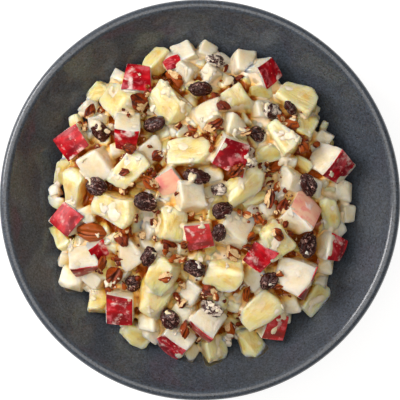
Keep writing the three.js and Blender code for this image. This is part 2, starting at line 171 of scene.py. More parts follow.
# Raisins: x, y, length, width, turn.
RAISINS = [
    (-60, 41, 15, 11, -60), (-61, 8, 15, 12, -25), (-32, -1, 15, 12, -10), (-27, 45, 16, 10, 12),
    (0, 66, 17, 10, 0), (19, 72, 8, 7, 60), (9, 84, 13, 9, -8), (34, 39, 12, 11, -30), (54, 55, 11, 7, -65),
    (43, 53, 13, 11, -25), (64, 9, 16, 11, -58), (64, -27, 16, 12, 62), (41, -48, 13, 11, 45),
    (-2, 14, 17, 10, -15), (13, -6, 14, 11, 28), (11, -19, 12, 10, 70), (11, 6, 11, 8, -10),
    (30, 22, 9, 8, 40), (-3, -40, 15, 11, -30), (-30, -33, 14, 10, 65), (-40, -50, 12, 11, 20),
    (-18, -71, 14, 12, -40), (7, -64, 16, 9, -28),
]

# Pecan pieces, the first a whole half: x, y, length, width, turn.
PECANS = [
    (-65, -19, 20, 12, -3), (-36, 58, 14, 11, -40), (-66, 52, 13, 7, 85), (-41, 30, 11, 7, -30),
    (-28, 9, 14, 9, -35), (-15, 73, 13, 10, -40), (-5, 44, 10, 8, -30), (8, 44, 14, 7, 35),
    (14, 54, 10, 8, -40), (54, 45, 12, 7, -25), (44, 20, 12, 8, 20), (61, 31, 10, 8, -50),
    (21, 17, 12, 8, 50), (41, 1, 13, 7, 85), (49, -5, 12, 7, 70), (45, -20, 10, 8, -35),
    (19, -31, 13, 9, -50), (6, -54, 10, 9, -20), (-9, -77, 14, 7, 75), (19, -77, 15, 8, -75),
    (28, -55, 12, 6, 85), (-51, -44, 16, 10, 60), (-46, -22, 13, 9, -60), (-18, -27, 10, 8, -30),
    (27, 40, 8, 6, 20), (46, 7, 9, 6, 75), (-45, 16, 8, 6, 0), (-27, -14, 9, 5, -75), (28, -9, 9, 5, -30),
    (34, -11, 9, 6, -50), (-14, -35, 10, 6, 20), (-58, -38, 10, 6, 80), (-20, -45, 9, 7, 10),
    (-11, -61, 8, 7, 40), (46, -51, 8, 5, 20), (-25, 26, 8, 7, 30),
]

TOPPINGS = RAISINS + PECANS
CREAMED_RAISINS = (6, 9, 16, 17, 22)  # their places in the list of raisins

# ---- numbers and noise ----


def draw(n):
    """A repeatable draw from 0 to 1 for each whole number."""
    s = math.sin(n * 12.9898 + 78.233) * 43758.5453
    return s - math.floor(s)


def lattice(cell, seed):
    """A repeatable value from -1 to 1 for each whole-numbered place."""
    n = cell[..., 0] * 374761393 + cell[..., 1] * 668265263 + cell[..., 2] * 1440662683 + seed * 1274126177
    n = (n & 0x7FFFFFFF) ^ ((n & 0x7FFFFFFF) >> 13)
    n = (n * 1103515245 + 12345) & 0x7FFFFFFF
    n ^= n >> 15
    return (n & 0xFFFF) / 32767.5 - 1


def noise(points, scale, seed=0, octaves=1):
    """Smooth noise from about -1 to 1 at points in millimetres; its lumps are scale millimetres wide."""
    total = np.zeros(len(points))
    strength = 1.0
    for octave in range(octaves):
        p = np.asarray(points) / scale * 2**octave + 1000.5
        cell = np.floor(p).astype(np.int64)
        f = p - cell
        f = f * f * (3 - 2 * f)
        value = 0
        for corner in range(8):
            step = np.array([corner & 1, corner >> 1 & 1, corner >> 2])
            weight = np.prod(np.where(step, f, 1 - f), axis=1)
            value = value + weight * lattice(cell + step, seed + octave)
        total += strength * value
        strength *= 0.5
    return total


def turn_axes(w, turn):
    """Axes, as rows, of a piece: the third is w, and the first, seen from above, is turned that far."""
    heading = np.array([math.cos(math.radians(turn)), math.sin(math.radians(turn)), 0])
    u = heading - w * heading.dot(w)
    u /= np.linalg.norm(u)
    return np.array([u, np.cross(w, u), w])


def unit(v):
    return np.asarray(v, float) / np.linalg.norm(v)


def stepped(x, y, reach, angle):
    return x + reach * math.cos(angle), y + reach * math.sin(angle)


def on_spiral(i, count, edge):
    """One of count places spread evenly over a disc, along a sunflower's spiral."""
    return stepped(0, 0, edge * math.sqrt((i + 0.5) / count), i * GOLDEN_ANGLE)


# ---- meshes ----


def cube_grid(n):
    """Points and quads of a cube's surface from -1 to 1, n squares along a side, smaller near its edges."""
    index = {}
    points = []
    quads = []

    def point(key):
        if key not in index:
            index[key] = len(points)
            t = np.array(key) / n * 2 - 1
            points.append(0.25 * t + 0.75 * np.sin(t * math.pi / 2))
        return index[key]

    for axis in range(3):
        a, b = (axis + 1) % 3, (axis + 2) % 3
        for side in (0, n):
            for i in range(n):
                for j in range(n):
                    ring = [(i, j), (i + 1, j), (i + 1, j + 1), (i, j + 1)]
                    if side == 0:
                        ring.reverse()
                    corner = []
                    for s, t in ring:
                        key = [0, 0, 0]
                        key[axis], key[a], key[b] = side, s, t
                        corner.append(point(tuple(key)))
                    quads.append(corner)
    return np.array(points), np.array(quads)


def ball_grid(n):
    """The same squares on a ball of radius 1."""
    points, quads = cube_grid(n)
    return points / np.linalg.norm(points, axis=1, keepdims=True), quads


def normals(points, quads):
    """The outward direction at each point of a mesh of quads."""
    a, b, c, d = (points[quads[:, k]] for k in range(4))
    across = np.cross(c - a, d - b)
    total = np.zeros_like(points)
    for k in range(4):
        np.add.at(total, quads[:, k], across)
    return total / np.maximum(np.linalg.norm(total, axis=1, keepdims=True), 1e-12)


class Pile:
    """Many small meshes of quads gathered into one object, with a few numbers kept at each point."""

    def __init__(self):
        self.points, self.quads, self.values, self.count = [], [], {}, 0

    def add(self, points, quads, **values):
        for key, value in values.items():
            if np.ndim(value) == 0:
                value = np.full(len(points), float(value))
            self.values.setdefault(key, []).append(value)
        self.points.append(points)
        self.quads.append(quads + self.count)
        self.count += len(points)

    def build(self, name, material=None):
        points = np.concatenate(self.points)
        quads = np.concatenate(self.quads)
        values = {key: np.concatenate(parts) for key, parts in self.values.items()}
        return make_object(name, points, quads, material, values)


def added(name, data):
    """A new object in the scene."""
    made = bpy.data.objects.new(name, data)
    bpy.context.scene.collection.objects.link(made)
    return made


def make_object(name, points, quads, material, values):
    """A smooth-shaded object in the scene, from points in millimetres."""
    mesh = bpy.data.meshes.new(name)
    mesh.vertices.add(len(points))
    mesh.vertices.foreach_set("co", (np.asarray(points) * MM).astype(np.float32).ravel())
    mesh.loops.add(quads.size)
    mesh.loops.foreach_set("vertex_index", quads.astype(np.int32).ravel())
    mesh.polygons.add(len(quads))
    mesh.polygons.foreach_set("loop_start", np.arange(0, quads.size, quads.shape[1], dtype=np.int32))
    mesh.update(calc_edges=True)
    mesh.polygons.foreach_set("use_smooth", np.ones(len(quads), bool))
    for key, value in values.items():
        flat = np.ndim(value) == 1
        attribute = mesh.attributes.new(key, "FLOAT" if flat else "FLOAT_VECTOR", "POINT")
        attribute.data.foreach_set("value" if flat else "vector", value.astype(np.float32).ravel())
    mesh.validate()
    if material:
        mesh.materials.append(material)
    return added(name, mesh)


def wear(piece, slot, *nodes):
    """Puts a finished piece on the model, in place of the solids that it stands for."""
    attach(piece, "root")
    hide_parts(*nodes)


# ---- materials ----


class Look:
    """A material, built node by node."""

    def __init__(self, name, **settings):
        self.material = bpy.data.materials.new(name)
        self.material.use_nodes = True
        self.tree = self.material.node_tree
        self.shader = self.tree.nodes["Principled BSDF"]
        for key, value in settings.items():
            self.shader.inputs[key.replace("_", " ")].default_value = value

    def node(self, kind, inputs=(), **settings):
        made = self.tree.nodes.new("ShaderNode" + kind)
        for key, value in settings.items():
            setattr(made, key, value)
        for key, value in dict(inputs).items():
            if isinstance(value, bpy.types.NodeSocket):
                self.tree.links.new(value, made.inputs[key])
            else:
                made.inputs[key].default_value = value
        return made

    def attribute(self, name, output="Fac"):
        return self.node("Attribute", attribute_name=name).outputs[output]

    def scaled(self, vector, scale):
        return self.node("VectorMath", {0: vector, 1: scale}, operation="MULTIPLY").outputs[0]

    def here(self, stretch=(1, 1, 1)):
        """Places in the whole object, in millimetres."""
        return self.scaled(self.node("TexCoord").outputs["Object"], [s / MM for s in stretch])

    def own(self, along):
        """Places in a piece's own axes, in millimetres, with the first axis scaled by along."""
        return self.scaled(self.attribute("place", "Vector"), (along, 1, 1))

    def noise(self, vector, width, detail=3, roughness=0.5, distortion=0.0):
        inputs = {"Vector": vector, "Scale": 1 / width, "Detail": detail, "Roughness": roughness,
                  "Distortion": distortion}
        return self.node("TexNoise", inputs).outputs["Fac"]

    def cells(self, vector, width):
        return self.node("TexVoronoi", {"Vector": vector, "Scale": 1 / width}).outputs["Distance"]

    def ramp(self, value, low, high, start=0.0, end=1.0):
        """value from low to high becomes start to end, smoothly, and stays there beyond."""
        inputs = {"Value": value, "From Min": low, "From Max": high, "To Min": start, "To Max": end}
        return self.node("MapRange", inputs, interpolation_type="SMOOTHSTEP").outputs[0]

    def mix(self, share, first, second, blend="MIX"):
        made = self.node("Mix", data_type="RGBA", blend_type=blend)
        for key, value in ((0, share), (6, first), (7, second)):
            if isinstance(value, bpy.types.NodeSocket):
                self.tree.links.new(value, made.inputs[key])
            else:
                made.inputs[key].default_value = value if key == 0 else (*value, 1)
        return made.outputs[2]

    def math(self, operation, first, second=0.0):
        return self.node("Math", {0: first, 1: second}, operation=operation).outputs[0]

    def set(self, name, value):
        self.tree.links.new(value, self.shader.inputs[name])

    def relief(self, *layers):
        """Bumps, each a height from 0 to 1 and how many millimetres that is."""
        normal = None
        for height, depth in layers:
            inputs = {"Height": height, "Strength": 1.0, "Distance": depth * MM}
            if normal:
                inputs["Normal"] = normal
            normal = self.node("Bump", inputs).outputs[0]
        self.set("Normal", normal)


def colour(red, green, blue):
    """A colour as a screen shows it, 0 to 255, made linear."""
    return tuple(c / 12.92 if c <= 0.04045 else ((c + 0.055) / 1.055) ** 2.4
                 for c in (red / 255, green / 255, blue / 255))


CREAM = colour(244, 229, 208)
# Painted shade, with some juice stain, deep between the pieces: pale gold, gold, brown; how deep between the
# pieces each starts and is full, and what it leaves of light.
SHADE_AND_JUICE_TINTS = [(0.5, 5, (1, 0.93, 0.78)), (2.8, 7.5, (0.98, 0.72, 0.26)), (6.4, 9, (0.46, 0.16, 0.02))]


def film(look, vector, base, share, strength):
    """Cream thinly smeared over a colour, in soft-edged patches; share is how much of it they cover."""
    wide = look.noise(vector, 8, 5, 0.6, 0.8)
    patch = look.ramp(wide, 0.56 - 0.4 * share, 0.86 - 0.4 * share)
    return look.mix(look.math("MULTIPLY", patch, strength), base, CREAM), patch


def shaded_and_stained(look, base):
    """A colour turned golden, then brown, deep between the pieces: painted shade there, with the juice and
    nut dust that has run down too.
    """
    depth = look.attribute("depth")
    ragged = look.math("ADD", depth, look.ramp(look.noise(look.here(), 6, 3), 0.25, 0.75, -1.8, 1.8))
    for low, high, shade_and_juice_tint in SHADE_AND_JUICE_TINTS:
        base = look.mix(look.ramp(ragged, low, high), base, shade_and_juice_tint, "MULTIPLY")
    return base


def rim(look, vector, most):
    """most near a piece's edges, where cream gathers and a painted edge highlight lies, and 0 in the middle
    of its sides.
    """
    ragged = look.ramp(look.noise(vector, 5, 3), 0.2, 0.8, -0.25, 0.25)
    return look.ramp(look.math("ADD", look.attribute("edge"), ragged), 0.45, 0.95, 0, most)


def apple_flesh():
    look = Look("apple_flesh", Subsurface_Weight=0.95, Subsurface_Scale=1,
                Subsurface_Radius=(0.0085, 0.0068, 0.0045), Coat_Weight=0.2, Coat_Roughness=0.15)
    place = look.here()
    base = look.mix(look.attribute("tone"), colour(244, 232, 210), colour(243, 228, 194))
    warm = look.ramp(look.noise(place, 11, 3), 0.42, 0.66, 0, 0.5)
    base = look.mix(warm, base, colour(230, 204, 152))
    fine = look.ramp(look.noise(place, 3.2, 4, 0.6), 0.45, 0.7, 0, 0.45)
    base = look.mix(fine, base, colour(222, 204, 168))
    # Paler edges: cream gathered there, with a painted edge highlight.
    base = look.mix(rim(look, place, 0.5), base, CREAM)
    base = look.mix(look.attribute("creamy"), base, CREAM)
    base, patch = film(look, place, base, 0.42, 0.8)
    look.set("Base Color", shaded_and_stained(look, base))
    look.set("Roughness", look.ramp(patch, 0, 1, 0.4, 0.26))
    look.relief((look.noise(place, 4.5, 2), 0.6), (look.noise(place, 1.1, 5, 0.6), 0.12), (patch, 0.12))
    return look.material


def apple_skin():
    look = Look("apple_skin", Specular_IOR_Level=0.25, Coat_Weight=0.04, Coat_Roughness=0.1)
    place = look.here()
    streak = look.noise(look.own(0.2), 2.0, 4, 0.6)
    blush = look.noise(look.own(0.5), 9, 2)
    red = look.mix(look.ramp(streak, 0.35, 0.65), colour(198, 4, 24), colour(150, 0, 16))
    red = look.mix(look.ramp(blush, 0.48, 0.66, 0, 0.85), red, colour(230, 46, 54))
    red = look.mix(look.ramp(blush, 0.5, 0.36, 0, 0.85), red, colour(118, 0, 16))
    coral = look.mix(look.ramp(blush, 0.35, 0.65), colour(248, 196, 164), colour(242, 158, 130))
    base = look.mix(look.ramp(look.attribute("redness"), 0.15, 0.8), coral, red)
    dots = look.ramp(look.cells(place, 3.4), 0.1, 0.2, 0.6, 0)
    base = look.mix(dots, base, colour(240, 160, 144))
    haze = look.ramp(look.noise(place, 6.5, 6, 0.62, 0.5), 0.5, 0.68, 0, 0.65)
    base = look.mix(haze, base, colour(238, 116, 126))
    smear = look.ramp(look.noise(place, 7.5, 6, 0.55, 0.3), 0.56, 0.72)
    base = look.mix(smear, base, colour(246, 220, 210))
    look.set("Base Color", base)
    look.set("Roughness", look.ramp(haze, 0, 0.5, 0.3, 0.42))
    look.relief((look.noise(place, 2.5, 2), 0.12), (smear, 0.25))
    return look.material


def pineapple_flesh():
    look = Look("pineapple_flesh", Roughness=0.3, Subsurface_Weight=0.95, Subsurface_Scale=1,
                Subsurface_Radius=(0.011, 0.008, 0.003), Coat_Weight=0.2, Coat_Roughness=0.12)
    place = look.here()
    own = look.own(0.5)
    fibre = look.noise(look.own(0.16), 1.4, 3, 0.5)
    deep = look.noise(own, 10, 3, 0.5, 0.4)
    base = look.mix(look.attribute("tone"), colour(240, 215, 132), colour(242, 223, 161))
    base = look.mix(look.ramp(deep, 0.44, 0.6, 0, 0.8), base, colour(228, 186, 88))
    base = look.mix(look.ramp(fibre, 0.48, 0.72, 0, 0.18), base, colour(242, 226, 170))
    # A paler rim: painted edge highlight of translucent flesh, with cream gathered there.
    base = look.mix(rim(look, place, 0.75), base, colour(243, 229, 188))
    pore = look.ramp(look.cells(look.own(0.7), 5.5), 0.08, 0.2, 1, 0)
    base = look.mix(look.math("MULTIPLY", pore, 0.25), base, colour(196, 144, 54))
    base = look.mix(look.attribute("creamy"), base, CREAM)
    base, patch = film(look, place, base, 0.28, 0.6)
    look.set("Base Color", shaded_and_stained(look, base))
    lump = look.noise(own, 3.2, 3, 0.5, 0.6)
    look.relief((lump, 0.75), (fibre, 0.1), (pore, -0.15), (patch, 0.15))
    return look.material


def dressing_look():
    look = Look("dressing", Roughness=0.25, Specular_IOR_Level=0.3, Subsurface_Weight=0.35,
                Subsurface_Scale=1, Subsurface_Radius=(0.0035, 0.0025, 0.0015))
    place = look.here()
    tint = look.mix(look.ramp(look.noise(place, 7, 3), 0.42, 0.6), CREAM, colour(238, 220, 184))
    look.set("Base Color", shaded_and_stained(look, tint))
    look.relief((look.noise(place, 4, 2, 0.5), 0.8), (look.noise(place, 1.5, 2, 0.5), 0.12))
    return look.material


def raisin_skin():
    look = Look("raisin_skin", Roughness=0.38, Specular_IOR_Level=0.3, Coat_Weight=0.12, Coat_Roughness=0.1)
    swirl = look.noise(look.own(0.6), 2.2, 2, 0.5, 1.0)
    # The folds' crests: where the swirling noise passes through its middle value. They are painted pale, as
    # highlights with some cream residue.
    crest = look.ramp(look.math("ABSOLUTE", look.math("SUBTRACT", swirl, 0.5)), 0.006, 0.042, 1, 0)
    fold = look.attribute("fold")
    # Darker down in the folds' valleys: painted shade.
    base = look.mix(look.ramp(fold, 0.1, 0.8), colour(25, 3, 1), colour(68, 18, 11))
    glint_spread = look.ramp(look.noise(look.here(), 3.2, 3), 0.4, 0.56, 0, 0.95)
    # Painted highlights along the crests, with some cream residue.
    base = look.mix(look.math("MULTIPLY", crest, glint_spread), base, colour(222, 176, 164))
    coat = look.noise(look.here(), 4.5, 4, 0.65, 1.0)
    edge = look.math("ADD", look.math("MULTIPLY", look.attribute("coated"), 0.3), coat)
    patch = look.ramp(look.math("ADD", edge, look.math("MULTIPLY", fold, 0.08)), 0.8, 0.88)
    look.set("Base Color", look.mix(patch, base, colour(240, 224, 206)))
    look.relief((crest, 0.8), (patch, 0.3))
    return look.material


def pecan_nut():
    look = Look("pecan_nut", Roughness=0.4, Specular_IOR_Level=0.22, Coat_Weight=0.07, Coat_Roughness=0.1)
    ridge = look.noise(look.own(0.3), 1.5, 4, 0.6, 0.8)
    skin = look.mix(look.ramp(ridge, 0.35, 0.65), colour(84, 17, 0), colour(152, 56, 0))
    warm = look.ramp(look.attribute("tone"), 0.5, 0.9, 0, 0.6)
    skin = look.mix(warm, skin, colour(188, 90, 16))
    skin = look.mix(look.ramp(look.attribute("whole"), 0, 1, 0, 0.45), skin, colour(196, 104, 38))
    # Darker down in the ridges' valleys: painted shade.
    skin = look.mix(look.ramp(look.attribute("fold"), 0.12, 0.42, 0.9, 0), skin, colour(54, 12, 0))
    crumb = look.noise(look.here(), 1.0, 4, 0.65)
    broken = look.mix(look.ramp(crumb, 0.4, 0.7), colour(240, 210, 162), colour(218, 166, 102))
    ragged = look.math("ADD", look.attribute("broken"), look.ramp(crumb, 0, 1, -0.35, 0.35))
    look.set("Base Color", look.mix(look.ramp(ragged, 0.4, 0.6), skin, broken))
    look.relief((ridge, 0.5), (crumb, 0.25))
    return look.material


def stoneware():
    look = Look("stoneware", Roughness=0.42, Coat_Weight=0.7, Coat_Roughness=0.1)
    place = look.here()
    cloud = look.noise(place, 30, 3)
    base = look.mix(cloud, colour(62, 71, 83), colour(72, 83, 97))
    mottle = look.noise(place, 1.3, 4, 0.7)
    base = look.mix(look.ramp(mottle, 0.4, 0.6, 0, 0.75), base, colour(38, 42, 47))
    speck = look.ramp(look.cells(place, 1.9), 0.19, 0.29)
    chosen = look.ramp(look.noise(place, 1.9, 2), 0.48, 0.54, 0, 0.9)
    dark = look.math("MULTIPLY", look.math("SUBTRACT", 1, speck), chosen)
    base = look.mix(dark, base, colour(12, 12, 13))
    pale = look.ramp(look.cells(look.here((1.1, 0.9, 1)), 3.1), 0.08, 0.15, 0.3, 0)
    base = look.mix(pale, base, colour(126, 130, 134))
    look.set("Base Color", base)
    look.set("Roughness", look.ramp(mottle, 0.3, 0.7, 0.38, 0.5))
    look.relief((mottle, 0.12), (speck, 0.1))
    return look.material


def floor_paint():
    """White paint, lit a little from within as a light table is."""
    look = Look("floor_paint", Roughness=0.9, Emission_Strength=0.85, Emission_Color=(1, 1, 1, 1))
    look.set("Base Color", look.mix(look.noise(look.here(), 60, 2), (0.32, 0.32, 0.32), (0.35, 0.35, 0.35)))
    return look.material


# ---- the bowl ----

CROWN_RADIUS = RIM_RADIUS - LIP_OUTER_ROUND
INNER_RADIUS = CROWN_RADIUS - LIP_INNER_ROUND * math.sin(LIP_INNER_TURN)
WALL_DEPTH = BOWL_HEIGHT - LIP_INNER_ROUND * (1 - math.cos(LIP_INNER_TURN)) - FLOOR_TOP
WALL_SHAPE = math.tan(LIP_INNER_TURN) * INNER_RADIUS / WALL_DEPTH


def wall_height(radius):
    return FLOOR_TOP + WALL_DEPTH * (radius / INNER_RADIUS) ** WALL_SHAPE


def outer_wall(radius):
    """The point of the outer wall that lies behind the inner wall at this radius."""
    slope = WALL_SHAPE * (wall_height(radius) - FLOOR_TOP) / radius
    length = math.hypot(1, slope)
    return radius + WALL * slope / length, wall_height(radius) - WALL / length


def lip_arc(round_, start, end, steps):
    turns = np.linspace(start, end, steps + 1)
    return [(CROWN_RADIUS + round_ * math.sin(t), BOWL_HEIGHT - round_ * (1 - math.cos(t))) for t in turns]


def bowl_profile():
    """Radii and heights from the middle of the underside, round the lip, to the middle of the floor."""
    foot = [(0, FOOT_RECESS), (20, FOOT_RECESS), (FOOT_INNER_RADIUS - 4, FOOT_RECESS),
            (FOOT_INNER_RADIUS - 2, FOOT_RECESS - 0.6), (FOOT_INNER_RADIUS - 0.6, FOOT_SOFT),
            (FOOT_INNER_RADIUS + FOOT_SOFT, 0), (FOOT_OUTER_RADIUS - FOOT_SOFT, 0),
            (FOOT_OUTER_RADIUS - 0.2, 0.5), (FOOT_OUTER_RADIUS, FOOT_SOFT)]
    outer = [outer_wall(r) for r in np.linspace(*OUTER_WALL_SPAN, 26)]
    lip = lip_arc(LIP_OUTER_ROUND, LIP_OUTER_TURN, 0, 14)
    lip += lip_arc(LIP_INNER_ROUND, 0, -LIP_INNER_TURN, 8)[1:]
    inner = [(r, wall_height(r)) for r in np.linspace(INNER_RADIUS - 3, 5, 34)]
    return foot + outer + lip + inner + [(0, FLOOR_TOP)]


def lathe(profile, sides):
    """A profile turned about the upright axis: points and quads, open at both ends."""
    angles = np.arange(sides) * 2 * math.pi / sides
    radii, heights = np.array(profile).T
    points = np.stack([np.outer(radii, np.cos(angles)), np.outer(radii, np.sin(angles)),
                       np.repeat(heights[:, None], sides, axis=1)], axis=2).reshape(-1, 3)
    quads = []
    for row in range(len(profile) - 1):
        for k in range(sides):
            a, b = row * sides + k, row * sides + (k + 1) % sides
            quads.append((a, b, b + sides, a + sides))
    return points, np.array(quads)


def make_bowl():
    sides = 180
    (_, foot_height), *ring, (_, floor_height) = bowl_profile()
    points, quads = lathe(ring, sides)
    points = np.vstack([points, [0, 0, foot_height], [0, 0, floor_height]])
    faces = quads.tolist()
    under, top = len(points) - 2, len(points) - 1
    last = (len(ring) - 1) * sides
    for k in range(sides):
        after = (k + 1) % sides
        faces.append((under, after, k))
        faces.append((top, last + k, last + after))
    mesh = bpy.data.meshes.new("stoneware_bowl")
    mesh.from_pydata((points * MM).tolist(), [], faces)
    mesh.polygons.foreach_set("use_smooth", np.ones(len(mesh.polygons), bool))
    mesh.materials.append(stoneware())
    wear(added("stoneware_bowl", mesh), "bowl", "bowl")


# ---- the heap's pieces ----


def heap_height(radius):
    return HEAP_CROWN - (HEAP_CROWN - HEAP_EDGE) * (radius / HEAP_RADIUS) ** HEAP_SHAPE


def leaning(x, y, seed):
    """The way a piece without skin lies: nearly level, leaning outwards down the heap's side."""
    out = EDGE_SLOPE * (math.hypot(x, y) / HEAP_RADIUS) ** 2
    angle = math.atan2(y, x)
    tip = TUMBLE * (draw(7 * seed + 1) - 0.5)
    tilt = TUMBLE * (draw(7 * seed + 2) - 0.5)
    return unit([out * math.cos(angle) + tip, out * math.sin(angle) + tilt, 1])


def heap_pieces():
    """The dice and chunks that the solid heap has too: the placed ones, then the smaller ones between."""
    pieces = []

    def add(kind, x, y, size, width, turn, lift, facing=None, redness=None):
        seed = len(pieces) + 1
        z = heap_height(math.hypot(x, y)) + lift
        w = leaning(x, y, seed) if facing is None else facing
        pieces.append(dict(kind=kind, middle=np.array([x, y, z]), size=size, width=width, seed=seed,
                           axes=turn_axes(w, turn), redness=redness))

    for x, y, size, turn, bearing, rise, lift, redness in SKINNED_APPLE:
        b, r = math.radians(bearing), math.radians(rise)
        facing = np.array([math.cos(r) * math.cos(b), math.cos(r) * math.sin(b), math.sin(r)])
        add("apple", x, y, size, size, turn, lift, facing, redness)
    for x, y, size, turn, lift in PEELED_APPLE:
        add("apple", x, y, size, size, turn, lift)
    for x, y, size, width, turn, lift in PINEAPPLE:
        add("pineapple", x, y, size, width, turn, lift)
    fill_gaps(pieces, add, FILL_SIZES, FILL_TRIES, FILL_SPACING)
    return pieces


def fill_gaps(pieces, add, sizes, tries, spacing, edge=HEAP_RADIUS):
    """Lays smaller pieces where there is room, the larger ones first."""
    for size in sizes:
        for i in range(tries):
            x, y = on_spiral(i, tries, edge)
            if all(math.hypot(p["middle"][0] - x, p["middle"][1] - y)
                   > spacing * ((p["size"] + p["width"]) / 2 + size) for p in pieces):
                kind = "apple" if draw(i) < 0.5 else "pineapple"
                add(kind, x, y, size, FILL_WIDTH * size, 360 * draw(i + 500), -FILL_SUNK * draw(i + 900))


def bits_between(pieces):
    """Bits of fruit, too small to be solids of their own, that show in the gaps."""
    bits = list(pieces)

    def add(kind, x, y, size, width, turn, lift):
        seed = len(bits) + 1
        crowded = any(math.dist((x, y), row[:2]) < BIT_CLEARANCE * (size + row[2]) for row in TOPPINGS)
        z = heap_height(math.hypot(x, y)) + lift - (BIT_SUNK if crowded else 0)
        tip = BIT_TUMBLE * np.array([draw(seed) - 0.5, draw(seed + 0.5) - 0.5, 0])
        bits.append(dict(kind=kind, middle=np.array([x, y, z]), size=size, width=width, seed=seed,
                         axes=turn_axes(unit(leaning(x, y, seed) + tip), turn), redness=None))

    fill_gaps(bits, add, BIT_SIZES, BIT_TRIES, BIT_SPACING, BIT_EDGE)
    return bits[len(pieces):]


CORNERS = [(i, j, k) for k in (-1, 1) for j in (-1, 1) for i in (-1, 1)]
GRID_POINTS, GRID_QUADS = cube_grid(13)
BIT_POINTS, BIT_QUADS = cube_grid(6)


def corners(size, seed, narrow):
    """The eight corners of a piece, uneven, with its -u end narrowed to a share of its width."""
    made = []
    for i, j, k in CORNERS:
        sides = (i, j * (narrow if i < 0 else 1), k)
        wobble = [CORNER_WOBBLE * (2 * draw(31 * seed + 3 * len(made) + axis) - 1) for axis in range(3)]
        made.append([size[axis] * (sides[axis] / 2 + wobble[axis]) for axis in range(3)])
    return np.array(made)


def between(grid, corner_points):
    """Each point of a grid from -1 to 1, set in proportion between a piece's eight corners."""
    shares = {-1: (1 - grid) / 2, 1: (1 + grid) / 2}
    total = 0
    for sides, corner in zip(CORNERS, corner_points):
        weight = np.prod([shares[side][:, axis] for axis, side in enumerate(sides)], axis=0)
        total = total + weight[:, None] * corner
    return total


def softened(grid, rounding):
    """A cube grid with its edges and corners rounded by that share of half its width."""
    inner = np.clip(grid, rounding - 1, 1 - rounding)
    out = grid - inner
    return inner + out / np.linalg.norm(out, axis=1, keepdims=True) * rounding


def skin_rise(u, v, size):
    """How far a skinned side bulges, from its middle to its edges."""
    return SKIN_BULGE * size * (1 - (u * u + v * v) / 2)


def knifed(local, piece, cuts):
    """A piece with some of its corners cut off, below its skin where it has one."""
    seed = piece["seed"]
    spread = np.abs(local).max(axis=0)
    for k in range(cuts):
        turn = 2 * math.pi * draw(41 * seed + k)
        rise = -0.6 if piece["redness"] is not None else 1.6 * draw(43 * seed + k) - 0.7
        way = unit(np.array([math.cos(turn), math.sin(turn), rise]) / spread)
        reach = (local @ way).max() * (0.66 + 0.26 * draw(47 * seed + k))
        over = np.maximum(local @ way - reach, 0)
        local = local - np.outer(over, way)
    return local


def apple_shape(piece, grid_points):
    size = piece["size"]
    skinned = piece["redness"] is not None
    grid = softened(grid_points, 2 * SOFT_EDGE / size)
    if skinned:
        crisp = np.clip(0.4 + 0.9 * grid_points[:, 2:], 0, 1)
        grid = crisp * softened(grid_points, 0.05) + (1 - crisp) * grid
    local = between(grid, corners([size] * 3, piece["seed"], 1))
    local = knifed(local, piece, 3)
    if skinned:
        top = np.clip(grid[:, 2], 0, 1) ** 2
        local[:, 2] += top * skin_rise(grid[:, 0], grid[:, 1], size)
    return local


def pineapple_shape(piece, grid_points):
    size, width = piece["size"], piece["width"]
    grid = softened(grid_points, 2 * SOFT_EDGE / size)
    local = between(grid, corners([size, width, WEDGE_THICKNESS * width], piece["seed"], NARROW_END))
    round_end = np.clip(grid[:, 0], 0, 1) * (1 - grid[:, 1] ** 2)
    local[:, 0] += (ROUND_END - 0.5) * size * round_end
    return knifed(local, piece, 4)


def cut_faces(points, local, piece):
    """A knife's slight waves, the fruit's grain, and a pineapple's fibres, as moves along the normals."""
    seed = piece["seed"]
    uneven = 0.055 * piece["size"] * noise(points, 9, seed) + 0.22 * noise(points, 3.4, seed)
    if piece["kind"] == "pineapple":
        along = local * [0.18, 1, 1]
        hollow = np.clip(noise(along, 5, seed + 7) - 0.3, 0, 1)
        uneven = uneven + 0.3 * noise(along, 2.6, seed) - 1.2 * hollow
    return uneven


def height_field(*piles):
    """The height of the highest point in each cell, with the bowl's wall where there is none."""
    x, y = np.meshgrid(np.arange(-FIELD, FIELD + 1), np.arange(-FIELD, FIELD + 1), indexing="ij")
    field = wall_height(np.minimum(np.hypot(x, y), INNER_RADIUS))
    points = np.concatenate([part for pile in piles for part in pile.points])
    cell = np.clip(np.rint(points[:, :2]).astype(int) + FIELD, 0, 2 * FIELD)
    np.maximum.at(field, (cell[:, 0], cell[:, 1]), points[:, 2])
    return field


def shifted(field, reach):
    """The field moved by each whole number of cells up to reach, along one axis."""
    padded = np.pad(field, ((reach, reach), (0, 0)), mode="edge")
    return np.stack([padded[k:k + len(field)] for k in range(2 * reach + 1)])


def tops_around(field):
    """How high the pieces round about each cell reach: the highest within 2 mm, then twice the mean within
    3 mm. Each pass works along one axis and swaps the two."""
    for _ in range(2):
        field = shifted(field, 2).max(axis=0).T
    for _ in range(4):
        field = shifted(field, 3).mean(axis=0).T
    return field


def depth_of(points, tops):
    """How far each point is below the tops round about it, which counts less at the heap's edge."""
    place = np.clip(points[:, :2] + FIELD, 0, 2 * FIELD - 1.001)
    cell = place.astype(int)
    (i, j), (s, t) = cell.T, (place - cell).T
    over = ((1 - s) * (1 - t) * tops[i, j] + s * (1 - t) * tops[i + 1, j]
            + (1 - s) * t * tops[i, j + 1] + s * t * tops[i + 1, j + 1])
    inner, outer = OPEN_EDGE
    enclosed = (outer - np.hypot(points[:, 0], points[:, 1])) / (outer - inner)
    return (over - points[:, 2]) * np.clip(enclosed, 0.5, 1)


def lifted_clear(points):
    """Points that would sink into the bowl's wall, lifted to lie on it."""
    radius = np.hypot(points[:, 0], points[:, 1])
    lowest = wall_height(np.minimum(radius, INNER_RADIUS)) + WALL_GAP
    return np.column_stack([points[:, :2], np.maximum(points[:, 2], lowest)])


